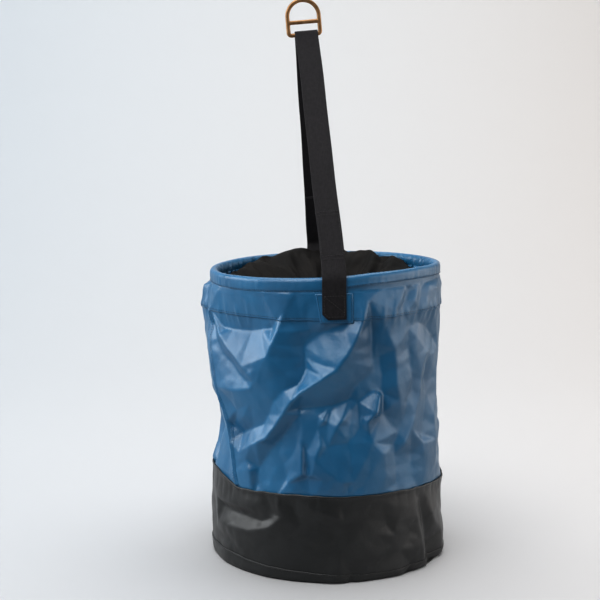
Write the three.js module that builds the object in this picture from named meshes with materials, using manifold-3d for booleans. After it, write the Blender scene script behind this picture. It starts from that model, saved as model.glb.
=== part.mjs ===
// Fruit picking bag: a round, hoop-rimmed bucket of coated fabric on a flat black base,
// carried by one webbing strap that runs from the front of the rim, through a metal D-ring,
// and down to the back of the rim. A soft black closure sleeve lines the mouth.
// Millimetres, +Z up. The origin is the middle of the underside, the front faces -Y, and
// the strap lies in the plane through the front and back of the rim.

import * as THREE from 'three';
import { mergeVertices } from 'three/addons/utils/BufferGeometryUtils.js';
import Module from 'manifold-3d';

const wasm = await Module();
wasm.setup();

// ---- Driving dimensions -------------------------------------------------------------------

const AROUND = 48; // facets round the bag
const GAP = 0.3; // clear space kept between pieces that touch
const FABRIC = 1.2; // coated fabric
const LIGHT_FABRIC = 1.0; // folded strips round the rim

const RIM_TOP = 388; // height of the rim above the floor
const RIM_RADIUS = 153.6; // outside of the casing round the hoop
const CASING_HEIGHT = 17; // from the rim top down to the casing's edge
const CASING_WIDTH = 12; // across the casing, over the hoop
const HOOP_WIRE = 5.6; // diameter of the hoop wire
const FERRULE_DIAMETER = 7.8; // tube that joins the hoop's two ends
const FERRULE_LENGTH = 26;
const HOOP_JOINT_GAP = 2; // between the wire's ends, inside the ferrule
const HOOP_JOINT_ANGLE = 150; // degrees round from the front, where the hoop is joined

const HEM_BOTTOM = 330; // lower edge of the outer band
const FACING_BOTTOM = 345; // lower edge of the inner band
const HEM_TOP = 375; // both bands end just under the hoop

const WALL_TOP = 342; // the wall ends behind the outer band
const WALL_BOTTOM = 101; // and behind the base band
const BASE_TOP = 113; // upper edge of the black base band
const BASE_RADIUS = 155.8; // outside of the base band
const BOTTOM_THICKNESS = 1.4; // the round bottom panel
const BOARD_THICKNESS = 3; // stiff disc that keeps the base round
const BOARD_RADIUS = 147;
const BINDING_HEIGHT = 11; // strip that covers the seam of wall and bottom

const SLEEVE_WIDTH = 16; // across the gathered sleeve
const SLEEVE_BOTTOM = 352;
const SLEEVE_TOP = 386;

const SEAM_ANGLE = -61; // degrees round from the front, where the wall is sewn closed
const SEAM_TAPE_WIDTH = 22;

const WEBBING_WIDTH = 30;
const WEBBING = 1.8; // thickness
const PATCH_WIDTH = 47;
const PATCH_HEIGHT = 38.5;
const PATCH_THICKNESS = 0.8;
const TAB_BOTTOM = 338; // the webbing reaches this far down each face of the rim

const HINGE_HEIGHT = 17; // the strap flexes about a line this far above the rim
const STRAP_RISE = 285; // from that line up to the ring's lower bar
const STRAP_LEAN = -5; // degrees about +Y: the taut strap leans towards -X
const DOUBLER_BOTTOM = 10; // second layer of webbing, measured above the rim
const DOUBLER_TOP = 82;

const RING_BAR = 5.6; // width and depth of the D-ring's bar
const RING_WIDTH = 46.6; // outside
const RING_SLOT = 16.2; // between the middles of the lower bar and the cross bar
const RING_ARCH = 23.6; // from the lower bar's middle up to the centre of the arch
const RING_SHIFT = -2.4; // the webbing sits to one side of the slot
const RING_CORNER = 6; // outside radius of the lower corners
const RING_BEVEL = 1.7; // the bar's edges are rounded off

const SETTLE_SHIFT = -4; // how far the rim has sagged sideways
const SETTLE_TILT = 1.5; // degrees: the rim's +X side is the higher one

// ---- Worked out from them -----------------------------------------------------------------

const casingInside = RIM_RADIUS - CASING_WIDTH;
const hoopRadius = RIM_RADIUS - CASING_WIDTH / 2;
const hoopHeight = RIM_TOP - CASING_WIDTH / 2;
const hemRadius = RIM_RADIUS - LIGHT_FABRIC - GAP;
const facingRadius = casingInside + LIGHT_FABRIC + GAP + LIGHT_FABRIC;
const wallTopRadius = hemRadius - FABRIC - GAP;
const wallBottomRadius = BASE_RADIUS - FABRIC - GAP;
const outerTabRadius = RIM_RADIUS + GAP + WEBBING;
const innerTabRadius = casingInside - 2 * GAP;
const sleeveRadius = innerTabRadius - WEBBING - 2 * GAP;
const hingeZ = RIM_TOP + HINGE_HEIGHT;
const tabTop = hingeZ - WEBBING_WIDTH / 2 - 2 * GAP;
const legStartY = outerTabRadius - WEBBING / 2;
const legStartZ = hingeZ - WEBBING_WIDTH / 2;
const ringZ = hingeZ + STRAP_RISE;
const wrapRadius = RING_BAR / 2 + 2 * GAP + WEBBING / 2; // webbing's middle round the lower bar

// ---- Materials ----------------------------------------------------------------------------

function finish(color, roughness, metalness = 0) {
  return new THREE.MeshStandardMaterial({ color, roughness, metalness });
}

const blueCoated = finish(0x2f6595, 0.42);
const blackCoated = finish(0x26282a, 0.5);
const blackNylon = finish(0x1b1b1e, 0.8);
const blackWebbing = finish(0x232126, 0.85);
const bronzePlate = finish(0xa57d55, 0.38, 0.9);
const springSteel = finish(0x9a9c9e, 0.35, 1.0);
const stiffBoard = finish(0x303234, 0.6);

// ---- Helpers ------------------------------------------------------------------------------

const group = new THREE.Group();

function radians(degrees) {
  return THREE.MathUtils.degToRad(degrees);
}

function addMesh(name, geometry, material, parent = group) {
  const mesh = new THREE.Mesh(geometry, material);
  mesh.name = name;
  parent.add(mesh);
  return mesh;
}

// Only positions are kept, with shared corners merged, as a boolean needs.
function weld(geometry) {
  const bare = geometry.clone();
  bare.deleteAttribute('normal');
  bare.deleteAttribute('uv');
  return mergeVertices(bare, 1e-4);
}

function toSolid(geometry) {
  const welded = weld(geometry);
  return new wasm.Manifold(new wasm.Mesh({
    numProp: 3,
    vertProperties: new Float32Array(welded.attributes.position.array),
    triVerts: new Uint32Array(welded.index.array),
  }));
}

function fromSolid(solid) {
  const mesh = solid.getMesh();
  const geometry = new THREE.BufferGeometry();
  geometry.setAttribute('position', new THREE.BufferAttribute(mesh.vertProperties, 3));
  geometry.setIndex(new THREE.BufferAttribute(mesh.triVerts, 1));
  geometry.computeVertexNormals();
  return geometry;
}

// The bag has settled: above the base it drifts sideways and its rim tilts a little.
function settle(geometry) {
  const place = geometry.attributes.position;
  const rise = Math.tan(radians(SETTLE_TILT));
  for (let i = 0; i < place.count; i += 1) {
    const share = Math.max(0, (place.getZ(i) - BASE_TOP) / (RIM_TOP - BASE_TOP));
    const x = place.getX(i);
    place.setX(i, x + SETTLE_SHIFT * share);
    place.setZ(i, place.getZ(i) + rise * x * share);
  }
  geometry.computeVertexNormals();
  return geometry;
}

// A closed profile of [radius, height] pairs, turned round the bag's axis.
function turned(profile) {
  const points = [...profile, profile[0]].map(([radius, z]) => new THREE.Vector2(radius, z));
  const lathe = new THREE.LatheGeometry(points, AROUND);
  return settle(lathe.rotateX(Math.PI / 2));
}

// A solid disc with its axis upright.
function disc(radius, bottom, top) {
  const points = [[0, bottom], [radius, bottom], [radius, top], [0, top]];
  const lathe = new THREE.LatheGeometry(points.map(([r, z]) => new THREE.Vector2(r, z)), AROUND);
  return lathe.rotateX(Math.PI / 2);
}

// An upright ring of fabric: outside radius, thickness, lower and upper edge.
function band(radius, thickness, bottom, top) {
  return turned([[radius - thickness, bottom], [radius, bottom], [radius, top], [radius - thickness, top]]);
}

// A plate bent round the bag's axis. The angle is measured from the front towards +X.
function bentPlate({ radius, thickness, width, bottom, top, angle = 0, steps = 8 }) {
  const plate = new THREE.BoxGeometry(width, thickness, top - bottom, steps, 1, 1);
  const place = plate.attributes.position;
  for (let i = 0; i < place.count; i += 1) {
    const turn = radians(angle) + place.getX(i) / radius;
    const r = radius - thickness / 2 - place.getY(i);
    place.setXYZ(i, r * Math.sin(turn), -r * Math.cos(turn), place.getZ(i) + (bottom + top) / 2);
  }
  return settle(plate);
}

// An outline in the YZ plane, given thickness along X and centred on it.
function acrossX(outline, width) {
  const slab = new THREE.ExtrudeGeometry(outline, { depth: width, bevelEnabled: false, curveSegments: 16 });
  const axes = new THREE.Matrix4().makeBasis(
    new THREE.Vector3(0, 1, 0),
    new THREE.Vector3(0, 0, 1),
    new THREE.Vector3(1, 0, 0),
  );
  return slab.applyMatrix4(axes).translate(-width / 2, 0, 0);
}

// ---- Base ---------------------------------------------------------------------------------

function addBase() {
  addMesh('base_panel', disc(BASE_RADIUS, 0, BOTTOM_THICKNESS), blackCoated);
  const boardBottom = BOTTOM_THICKNESS + GAP;
  addMesh('base_board', disc(BOARD_RADIUS, boardBottom, boardBottom + BOARD_THICKNESS), stiffBoard);
  addMesh('base_wall', band(BASE_RADIUS, FABRIC, BOTTOM_THICKNESS + GAP, BASE_TOP), blackCoated);
  const bindingBottom = BOTTOM_THICKNESS + 2 * GAP;
  const bindingTop = bindingBottom + BINDING_HEIGHT;
  const bindingRadius = BASE_RADIUS + GAP + LIGHT_FABRIC;
  addMesh('base_binding', band(bindingRadius, LIGHT_FABRIC, bindingBottom, bindingTop), blackCoated);
}

// ---- Wall ---------------------------------------------------------------------------------

// The blue wall: it starts inside the black base band and ends inside the hem band.
function addWall() {
  const outside = [
    [wallBottomRadius, WALL_BOTTOM],
    [wallBottomRadius, BASE_TOP + 6],
    [wallTopRadius + 1.6, 180],
    [wallTopRadius + 0.6, 260],
    [wallTopRadius, HEM_BOTTOM - 8],
    [wallTopRadius, WALL_TOP],
  ];
  const inside = outside.map(([radius, z]) => [radius - FABRIC, z]).reverse();
  addMesh('body_panel', turned([...outside, ...inside]), blueCoated);
  addMesh('side_seam_tape', bentPlate({
    radius: wallTopRadius - FABRIC - 2 * GAP,
    thickness: PATCH_THICKNESS,
    width: SEAM_TAPE_WIDTH,
    bottom: BASE_TOP + 6,
    top: HEM_BOTTOM + 5,
    angle: SEAM_ANGLE,
  }), blueCoated);
}

// ---- Rim ----------------------------------------------------------------------------------

// A bar bent to part of a circle round the bag's axis, with its ends flat.
function hoopArc(outline, fromAngle, toAngle, steps) {
  class Arc extends THREE.Curve {
    getPoint(t, target = new THREE.Vector3()) {
      const turn = radians(fromAngle + (toAngle - fromAngle) * t);
      return target.set(hoopRadius * Math.sin(turn), -hoopRadius * Math.cos(turn), hoopHeight);
    }
  }
  return settle(new THREE.ExtrudeGeometry(outline, {
    extrudePath: new Arc(),
    steps,
    bevelEnabled: false,
    curveSegments: 5,
  }));
}

function circle(diameter) {
  return new THREE.Shape().absarc(0, 0, diameter / 2, 0, 2 * Math.PI);
}

function addHoop() {
  const degreesPerMillimetre = 180 / (Math.PI * hoopRadius);
  const halfJoint = (HOOP_JOINT_GAP / 2) * degreesPerMillimetre;
  const start = HOOP_JOINT_ANGLE + halfJoint;
  const wire = hoopArc(circle(HOOP_WIRE), start, start + 360 - 2 * halfJoint, AROUND);
  addMesh('rim_hoop', wire, springSteel);
  const tube = circle(FERRULE_DIAMETER);
  tube.holes.push(circle(HOOP_WIRE + 3 * GAP));
  const halfFerrule = (FERRULE_LENGTH / 2) * degreesPerMillimetre;
  const ferrule = hoopArc(tube, HOOP_JOINT_ANGLE - halfFerrule, HOOP_JOINT_ANGLE + halfFerrule, 6);
  addMesh('hoop_ferrule', ferrule, springSteel);
}

// A strip folded over the hoop, open underneath: two legs and a round top.
function addCasing() {
  const bottom = RIM_TOP - CASING_HEIGHT;
  const halfWidth = CASING_WIDTH / 2;
  const fold = (radius, sign) => {
    const points = [];
    for (let i = 0; i <= 6; i += 1) {
      const turn = (Math.PI * i) / 6;
      points.push([hoopRadius + sign * radius * Math.cos(turn), hoopHeight + radius * Math.sin(turn)]);
    }
    return points;
  };
  addMesh('rim_casing', turned([
    [RIM_RADIUS - LIGHT_FABRIC, bottom],
    [RIM_RADIUS, bottom],
    ...fold(halfWidth, 1),
    [casingInside, bottom],
    [casingInside + LIGHT_FABRIC, bottom],
    ...fold(halfWidth - LIGHT_FABRIC, -1),
  ]), blueCoated);
}

function addBands() {
  addMesh('hem_band', band(hemRadius, FABRIC, HEM_BOTTOM, HEM_TOP), blueCoated);
  addMesh('hem_facing', band(facingRadius, LIGHT_FABRIC, FACING_BOTTOM, HEM_TOP), blueCoated);
}

// Where the strap is sewn on: a patch, and webbing down both faces of the rim.
function addStrapAnchor(side, angle) {
  const patchTop = RIM_TOP - CASING_HEIGHT - GAP;
  addMesh(`${side}_patch`, bentPlate({
    radius: hemRadius + GAP + PATCH_THICKNESS,
    thickness: PATCH_THICKNESS,
    width: PATCH_WIDTH,
    bottom: patchTop - PATCH_HEIGHT,
    top: patchTop,
    angle,
  }), blueCoated);
  const tab = { thickness: WEBBING, width: WEBBING_WIDTH, bottom: TAB_BOTTOM, top: tabTop, angle };
  addMesh(`${side}_outer_tab`, bentPlate({ ...tab, radius: outerTabRadius }), blackWebbing);
  addMesh(`${side}_inner_tab`, bentPlate({ ...tab, radius: innerTabRadius }), blackWebbing);
}

// The closure sleeve, gathered into a soft roll inside the rim, with the middle left open.
function addSleeve() {
  const halfWidth = SLEEVE_WIDTH / 2;
  const middle = sleeveRadius - halfWidth;
  const rolled = [];
  for (let i = 0; i <= 5; i += 1) {
    const turn = (Math.PI * i) / 5;
    rolled.push([middle + halfWidth * Math.cos(turn), SLEEVE_TOP - halfWidth * (1 - Math.sin(turn))]);
  }
  addMesh('closure_sleeve', turned([
    [middle - halfWidth, SLEEVE_BOTTOM],
    [middle + halfWidth, SLEEVE_BOTTOM],
    ...rolled,
  ]), blackNylon);
}

// ---- Strap --------------------------------------------------------------------------------

// Everything on the strap is drawn upright and leans with this group.
function leaningGroup() {
  const lean = new THREE.Group();
  lean.position.set(SETTLE_SHIFT, 0, hingeZ);
  lean.rotation.y = radians(STRAP_LEAN);
  group.add(lean);
  return lean;
}

// The front leg's direction, from its lower end up to where it meets the wrap round the
// bar, and the angle on the wrap where that happens. Y and Z are measured in the plane.
function legLine() {
  const reach = new THREE.Vector2(legStartY, ringZ - legStartZ);
  const length = Math.sqrt(reach.lengthSq() - wrapRadius ** 2);
  const toBar = Math.atan2(reach.y, reach.x);
  const turn = toBar + Math.asin(wrapRadius / reach.length());
  return { length, turn };
}

// The ribbon's outline in the YZ plane, about the hinge line: up the front leg, over the
// bar and down the rear leg, and back along its inner face.
function ribbonOutline() {
  const { turn } = legLine();
  const lowZ = legStartZ - hingeZ;
  const outer = wrapRadius + WEBBING / 2;
  const inner = wrapRadius - WEBBING / 2;
  const sideways = WEBBING / 2 / Math.sin(turn);
  const wrapFrom = turn + Math.PI / 2;
  const outline = new THREE.Shape();
  outline.moveTo(-legStartY - sideways, lowZ);
  outline.absarc(0, STRAP_RISE, outer, wrapFrom, Math.PI - wrapFrom, true);
  outline.lineTo(legStartY + sideways, lowZ);
  outline.lineTo(legStartY - sideways, lowZ);
  outline.absarc(0, STRAP_RISE, inner, Math.PI - wrapFrom, wrapFrom, false);
  outline.lineTo(-legStartY + sideways, lowZ);
  return outline;
}

// A second layer on the inner face of one leg.
function doublerOutline(side) {
  const { turn } = legLine();
  const inwards = (WEBBING + GAP) / Math.sin(turn);
  const halfThick = WEBBING / 2 / Math.sin(turn);
  const middle = (z) => legStartY - inwards - (z - legStartZ) / Math.tan(turn);
  const low = RIM_TOP + DOUBLER_BOTTOM;
  const high = RIM_TOP + DOUBLER_TOP;
  const corners = [
    [middle(low) + halfThick, low],
    [middle(low) - halfThick, low],
    [middle(high) - halfThick, high],
    [middle(high) + halfThick, high],
  ];
  return new THREE.Shape(corners.map(([y, z]) => new THREE.Vector2(side * y, z - hingeZ)));
}

// Webbing whose lower ends are rounded about the hinge line, so that they clear the tabs.
function roundedAtHinge(geometry) {
  const half = WEBBING_WIDTH / 2;
  const keep = new THREE.Shape();
  keep.moveTo(-half, STRAP_RISE + half);
  keep.lineTo(-half, 0);
  keep.absarc(0, 0, half, Math.PI, 2 * Math.PI, false);
  keep.lineTo(half, STRAP_RISE + half);
  const depth = 3 * legStartY;
  const block = new THREE.ExtrudeGeometry(keep, { depth, bevelEnabled: false, curveSegments: 16 });
  block.rotateX(Math.PI / 2).translate(0, depth / 2, 0);
  return fromSolid(toSolid(geometry).intersect(toSolid(block)));
}

function addStrap(parent) {
  const ribbon = acrossX(ribbonOutline(), WEBBING_WIDTH);
  addMesh('strap_webbing', roundedAtHinge(ribbon), blackWebbing, parent);
  for (const [side, sign] of [['front', -1], ['rear', 1]]) {
    const layer = acrossX(doublerOutline(sign), WEBBING_WIDTH);
    addMesh(`${side}_doubler`, roundedAtHinge(layer), blackWebbing, parent);
  }
}

// A gap in the ring with straight sides, from one height to another, with a flat top or
// an arch. It is drawn larger by the bevel, which then closes in on it.
function ringGap(bottom, top, arched) {
  const half = RING_WIDTH / 2 - RING_BAR + RING_BEVEL;
  const gap = new THREE.Path();
  gap.moveTo(-half, bottom - RING_BEVEL);
  gap.lineTo(half, bottom - RING_BEVEL);
  if (arched) {
    gap.absarc(0, RING_ARCH, half, 0, Math.PI, false);
  } else {
    gap.lineTo(half, top + RING_BEVEL);
    gap.lineTo(-half, top + RING_BEVEL);
  }
  gap.closePath();
  return gap;
}

// The ring: a lower bar and a cross bar with a slot between them, and an arch above.
// Heights are measured from the middle of the lower bar.
function addRing(parent) {
  const half = RING_WIDTH / 2 - RING_BEVEL;
  const foot = -RING_BAR / 2 + RING_BEVEL;
  const corner = RING_CORNER - RING_BEVEL;
  const outline = new THREE.Shape();
  outline.absarc(half - corner, foot + corner, corner, -Math.PI / 2, 0, false);
  outline.absarc(0, RING_ARCH, half, 0, Math.PI, false);
  outline.absarc(-half + corner, foot + corner, corner, Math.PI, 1.5 * Math.PI, false);
  outline.closePath();
  const overBar = RING_BAR / 2;
  outline.holes.push(ringGap(overBar, RING_SLOT - overBar, false));
  outline.holes.push(ringGap(RING_SLOT + overBar, RING_ARCH, true));
  const depth = RING_BAR - 2 * RING_BEVEL;
  const body = new THREE.ExtrudeGeometry(outline, {
    depth,
    bevelThickness: RING_BEVEL,
    bevelSize: RING_BEVEL,
    bevelSegments: 2,
    curveSegments: 12,
  });
  body.translate(0, 0, -depth / 2).rotateX(Math.PI / 2);
  const ring = addMesh('d_ring', body, bronzePlate, parent);
  ring.position.set(RING_SHIFT, 0, STRAP_RISE);
}

// ---- The bag ------------------------------------------------------------------------------

addBase();
addWall();
addHoop();
addCasing();
addBands();
addStrapAnchor('front', 0);
addStrapAnchor('rear', 180);
addSleeve();
const strapGroup = leaningGroup();
addStrap(strapGroup);
addRing(strapGroup);

export default group;
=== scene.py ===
"""The fruit picking bag's looks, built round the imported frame. Lengths are millimetres, turned
into metres where a mesh is made; the camera, lights and floor are in metres. Round the bag, an
angle is in degrees from the front (-Y) towards +X, and a height is above the floor."""

import math

import bpy
import numpy as np
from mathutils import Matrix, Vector
from mathutils.geometry import delaunay_2d_cdt


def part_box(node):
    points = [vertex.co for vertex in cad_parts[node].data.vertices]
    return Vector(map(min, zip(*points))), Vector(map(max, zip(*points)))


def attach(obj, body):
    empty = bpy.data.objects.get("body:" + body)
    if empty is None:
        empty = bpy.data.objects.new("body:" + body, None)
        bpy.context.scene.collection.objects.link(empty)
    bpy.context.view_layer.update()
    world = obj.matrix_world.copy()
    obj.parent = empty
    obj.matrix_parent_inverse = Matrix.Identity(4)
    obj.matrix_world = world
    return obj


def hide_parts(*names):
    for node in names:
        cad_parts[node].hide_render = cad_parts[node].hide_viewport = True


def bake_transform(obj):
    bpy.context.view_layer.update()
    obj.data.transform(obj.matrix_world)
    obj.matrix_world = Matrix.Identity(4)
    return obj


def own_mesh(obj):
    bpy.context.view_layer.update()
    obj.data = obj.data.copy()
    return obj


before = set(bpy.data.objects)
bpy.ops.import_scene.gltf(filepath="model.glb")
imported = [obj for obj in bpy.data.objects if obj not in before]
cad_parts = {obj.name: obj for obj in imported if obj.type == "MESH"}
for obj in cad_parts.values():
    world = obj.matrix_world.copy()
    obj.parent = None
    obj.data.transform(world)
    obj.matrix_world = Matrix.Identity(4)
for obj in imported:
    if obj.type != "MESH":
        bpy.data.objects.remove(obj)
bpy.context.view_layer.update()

# ---- Sizes ---------------------------------------------------------------------------------

MM = 0.001


def size_of(node):
    """Lowest and highest corner of a CAD node, in millimetres."""
    low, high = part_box(node)
    return low / MM, high / MM


BASE_TOP = size_of("base_wall")[1].z
BASE_RADIUS = size_of("base_wall")[1].y
RIM_RADIUS = size_of("rim_casing")[1].y
RIM_TOP = 388.0
HOOP_MIDDLE = 147.6
CASING_BOTTOM = 371.0
CASING_WIDTH = 12.0
CASING_EDGE = 152.6
CASING_STITCHES = 372.4
UNDER_CASING = 151.7
HEM_SEAM = 338.0
HEM_TOP = CASING_BOTTOM + 10.5
HEM_STEP = 1.3
WALL_TOP = HEM_SEAM + 8
WALL_TUCK = 2.5
FACING_BOTTOM = 345.0
FACING_RADIUS = 143.6
SLEEVE_EDGE = 139.0
SEAM_HALF = 5.0
BAND_SEAM = 113
BINDING_STEP = 0.9
PATCH_HALF = 23.5
PATCH_LOW = 333.0
PATCH_HIGH = 370.2
PATCH_SLANT = 5.5
PATCH_STEP = 0.9
SETTLE_SHIFT = -4.0
SETTLE_TILT = 1.5
FABRIC = 1.0
THIN_FABRIC = 0.8
DEGREE = math.pi * BASE_RADIUS / 180

WEBBING_WIDTH = 30.0
WEBBING = 1.8
SELVEDGE = 1.2
HINGE_HEIGHT = 405.0
STRAP_RISE = 285.0
STRAP_LEAN = -5.0
RING_BAR = 5.6
RING_WIDTH = 46.6
RING_SLOT = 16.2
RING_ARCH = 23.6
RING_SHIFT = -2.4
RING_CORNER = 3.4

# ---- Camera, light and floor ---------------------------------------------------------------

CAMERA_DISTANCE = 1.79
CAMERA_HEIGHT = 0.61
CAMERA_AZIMUTH = -4.3
CAMERA_YAW = 1.19
CAMERA_PITCH = 8.6
LENS = 81.0


def add_camera():
    data = bpy.data.cameras.new("camera")
    data.lens = LENS
    data.sensor_width = 36.0
    camera = bpy.data.objects.new("camera", data)
    bpy.context.scene.collection.objects.link(camera)
    turn = math.radians(CAMERA_AZIMUTH)
    across, along = math.sin(turn), math.cos(turn)
    camera.location = (CAMERA_DISTANCE * across, -CAMERA_DISTANCE * along, CAMERA_HEIGHT)
    aim = math.radians(CAMERA_AZIMUTH + CAMERA_YAW)
    camera.rotation_euler = (math.radians(90 - CAMERA_PITCH), 0, aim)
    bpy.context.scene.camera = camera


def add_area_light(name, place, aim, size, power, colour):
    data = bpy.data.lights.new(name, "AREA")
    data.shape = "RECTANGLE"
    data.size, data.size_y = size
    data.energy = power
    data.color = colour
    light = bpy.data.objects.new(name, data)
    light.location = place
    light.visible_camera = False
    light.rotation_euler = (Vector(aim) - Vector(place)).to_track_quat("-Z", "Y").to_euler()
    bpy.context.scene.collection.objects.link(light)
    return light


def keep_off(light, backdrop):
    """The light falls on everything but the backdrop, so it casts no shadow there."""
    lit = bpy.data.collections.new(light.name + "_lit")
    lit.objects.link(backdrop)
    lit.collection_objects[0].light_linking.link_state = "EXCLUDE"
    light.light_linking.receiver_collection = lit


def add_world():
    world = bpy.data.worlds.new("studio")
    world.use_nodes = True
    background = world.node_tree.nodes["Background"]
    background.inputs["Color"].default_value = (0.86, 0.9, 0.95, 1)
    background.inputs["Strength"].default_value = 0.16
    bpy.context.scene.world = world


# Each light's name, place, aim, size, power in watts, and colour.
LIGHTS = [
    ("window", (-2.45, 0.25, 1.15), (0, 0, 0.25), (2.3, 1.5), 58, (0.95, 0.98, 1.0)),
    ("front", (-1.45, -1.65, 1.7), (0, 0, 0.3), (1.3, 1.0), 6, (1.0, 1.0, 1.0)),
    ("ceiling", (-0.5, -1.0, 2.4), (0, 0, 0.2), (1.6, 1.2), 29, (1.0, 1.0, 1.0)),
    ("right wall", (1.9, -0.3, 0.42), (0, 0, 0.25), (3.4, 0.8), 10, (1.0, 0.97, 0.94)),
    ("right sheen", (1.95, -0.3, 0.75), (0, 0, 0.35), (3.4, 1.5), 26, (1.0, 0.95, 0.92)),
    ("overhead", (0.0, 0.6, 2.7), (0.0, 0.65, 0), (3.6, 2.4), 90, (1.0, 1.0, 1.0)),
]
FRONT_SPREAD = 70


def add_lights(backdrop):
    add_world()
    lights = {name: add_area_light(name, *rest) for name, *rest in LIGHTS}
    lights["front"].data.spread = math.radians(FRONT_SPREAD)
    keep_off(lights["window"], backdrop)
    keep_off(lights["front"], backdrop)
    lights["right sheen"].visible_diffuse = False
    add_flag()


def add_flag():
    """A black card on the floor in front, seen only in the cloth's reflections."""
    corners = [(-1.2, -3.2, 0.01), (1.0, -3.2, 0.01), (0.35, -0.45, 0.01), (-0.5, -0.45, 0.01)]
    card = new_material("flag_card", (0.01, 0.01, 0.01), 1.0, Specular_IOR_Level=0.0)
    flag = add_piece("flag", corners, [(0, 1, 2, 3)], card)
    flag.visible_camera = False
    flag.visible_diffuse = False
    flag.visible_shadow = False


def add_floor():
    """A pale sweep: flat under the bag, curving up into a backdrop behind it."""
    width, front, back, rise, bend = 9.0, -4.0, 2.6, 4.0, 1.6
    profile = [(front, 0.0)]
    for turn in np.linspace(0, math.pi / 2, 13):
        profile.append((back - bend + bend * math.sin(turn), bend * (1 - math.cos(turn))))
    profile.append((back, rise))
    verts = [(side * width / 2, y, z) for y, z in profile for side in (-1, 1)]
    faces = [(2 * i, 2 * i + 1, 2 * i + 3, 2 * i + 2) for i in range(len(profile) - 1)]
    paper = new_material("floor_paper", (0.62, 0.62, 0.62), 0.7)
    # Painted light: the sweep is painted paler up the back, cooler at the left and warmer at the
    # right.
    paint_backdrop_light(paper)
    floor = add_piece("floor", verts, faces, paper)
    return floor


def paint_backdrop_light(material):
    """Painted light on the sweep: a little paler up the back, cooler at the left and warmer at the
    right, as the lamps would light it.
    """
    place = add_node(material, "ShaderNodeTexCoord", {})
    parts = add_node(material, "ShaderNodeSeparateXYZ", {"Vector": place.outputs["Object"]})
    depth = combine(material, "ShaderNodeMath", "ADD", parts.outputs["Y"], parts.outputs["Z"])
    # Painted light: brighter further back and higher up, with a cool tint at the left and a warm
    # tint at the right.
    paler = add_ramp(material, stretched(material, depth, -0.5, 3.5),
                     [(0, (0.612, 0.612, 0.618)), (1, (0.725, 0.738, 0.75))])
    warmer = add_ramp(material, stretched(material, parts.outputs["X"], -1.0, 1.0),
                      [(0, (0.914, 0.962, 1.0)), (1, (0.977, 0.93, 0.892))])
    painted_light = combine(material, "ShaderNodeVectorMath", "MULTIPLY", paler, warmer)
    connect(material, "Base Color", painted_light)


# ---- Materials -----------------------------------------------------------------------------


def new_material(name, colour, roughness, **sockets):
    """A material with its even values on the shader's own sockets."""
    material = bpy.data.materials.new(name)
    material.use_nodes = True
    shader = material.node_tree.nodes["Principled BSDF"]
    shader.inputs["Base Color"].default_value = (*colour, 1)
    shader.inputs["Roughness"].default_value = roughness
    for socket, value in sockets.items():
        shader.inputs[socket.replace("_", " ")].default_value = value
    return material


def add_node(material, kind, inputs):
    """A new shader node: each input gets a value, or a link from another node's socket."""
    tree = material.node_tree
    node = tree.nodes.new(kind)
    for name, value in inputs.items():
        if isinstance(value, bpy.types.NodeSocket):
            tree.links.new(value, node.inputs[name])
        else:
            node.inputs[name].default_value = value
    return node


def connect(material, socket, value):
    """Links a value to one of the shader's own sockets."""
    tree = material.node_tree
    tree.links.new(value, tree.nodes["Principled BSDF"].inputs[socket])


def combine(material, kind, operation, first, second):
    """Two values, or two vectors, put through a maths node."""
    node = add_node(material, kind, {0: first, 1: second})
    node.operation = operation
    return node.outputs[0]


def stretched(material, value, low, high, to_low=0.0, to_high=1.0):
    """The value, stretched so that low and high become two new ends."""
    inputs = {"Value": value, "From Min": low, "From Max": high,
              "To Min": to_low, "To Max": to_high}
    return add_node(material, "ShaderNodeMapRange", inputs).outputs["Result"]


def add_ramp(material, value, stops):
    """Colours along a ramp, chosen by a value: stops are (position, colour)."""
    ramp = add_node(material, "ShaderNodeValToRGB", {"Fac": value})
    while len(ramp.color_ramp.elements) < len(stops):
        ramp.color_ramp.elements.new(0.5)
    for element, (position, colour) in zip(ramp.color_ramp.elements, stops):
        element.position = position
        element.color = (*colour, 1)
    return ramp.outputs["Color"]


def add_noise(material, scale, detail):
    """A noise texture's value, at a number of lumps per metre."""
    place = add_node(material, "ShaderNodeTexCoord", {})
    inputs = {"Vector": place.outputs["Object"], "Scale": scale, "Detail": detail}
    return add_node(material, "ShaderNodeTexNoise", inputs).outputs["Fac"]


def vary_roughness(material, value, low, high):
    connect(material, "Roughness", stretched(material, value, 0.25, 0.75, low, high))


def add_bump(material, value, strength, distance, under=None):
    """Bump from a value, over another bump's normal where there is one."""
    inputs = {"Height": value, "Strength": strength, "Distance": distance * MM}
    if under:
        inputs["Normal"] = under
    normal = add_node(material, "ShaderNodeBump", inputs).outputs["Normal"]
    connect(material, "Normal", normal)
    return normal


def add_ribs(material, count, direction):
    """Even ribs across a ribbon: count of them for each ribbon width, along X or Y of its UV."""
    place = add_node(material, "ShaderNodeTexCoord", {})
    wave = add_node(material, "ShaderNodeTexWave",
                    {"Vector": place.outputs["UV"], "Scale": count * math.pi / 10,
                     "Distortion": 0.4, "Detail Scale": 3})
    wave.bands_direction = direction
    return wave.outputs["Fac"]


def mottled(name, colours, roughness, lumps, low=0.3, high=0.7, **sockets):
    """A material that is uneven from the first colour to the last, in lumps of this scale and
    detail. Its even colour is the middle one."""
    first, even, last = colours
    material = new_material(name, even, roughness, **sockets)
    ramp = add_ramp(material, add_noise(material, *lumps), [(low, first), (high, last)])
    connect(material, "Base Color", ramp)
    return material


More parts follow.
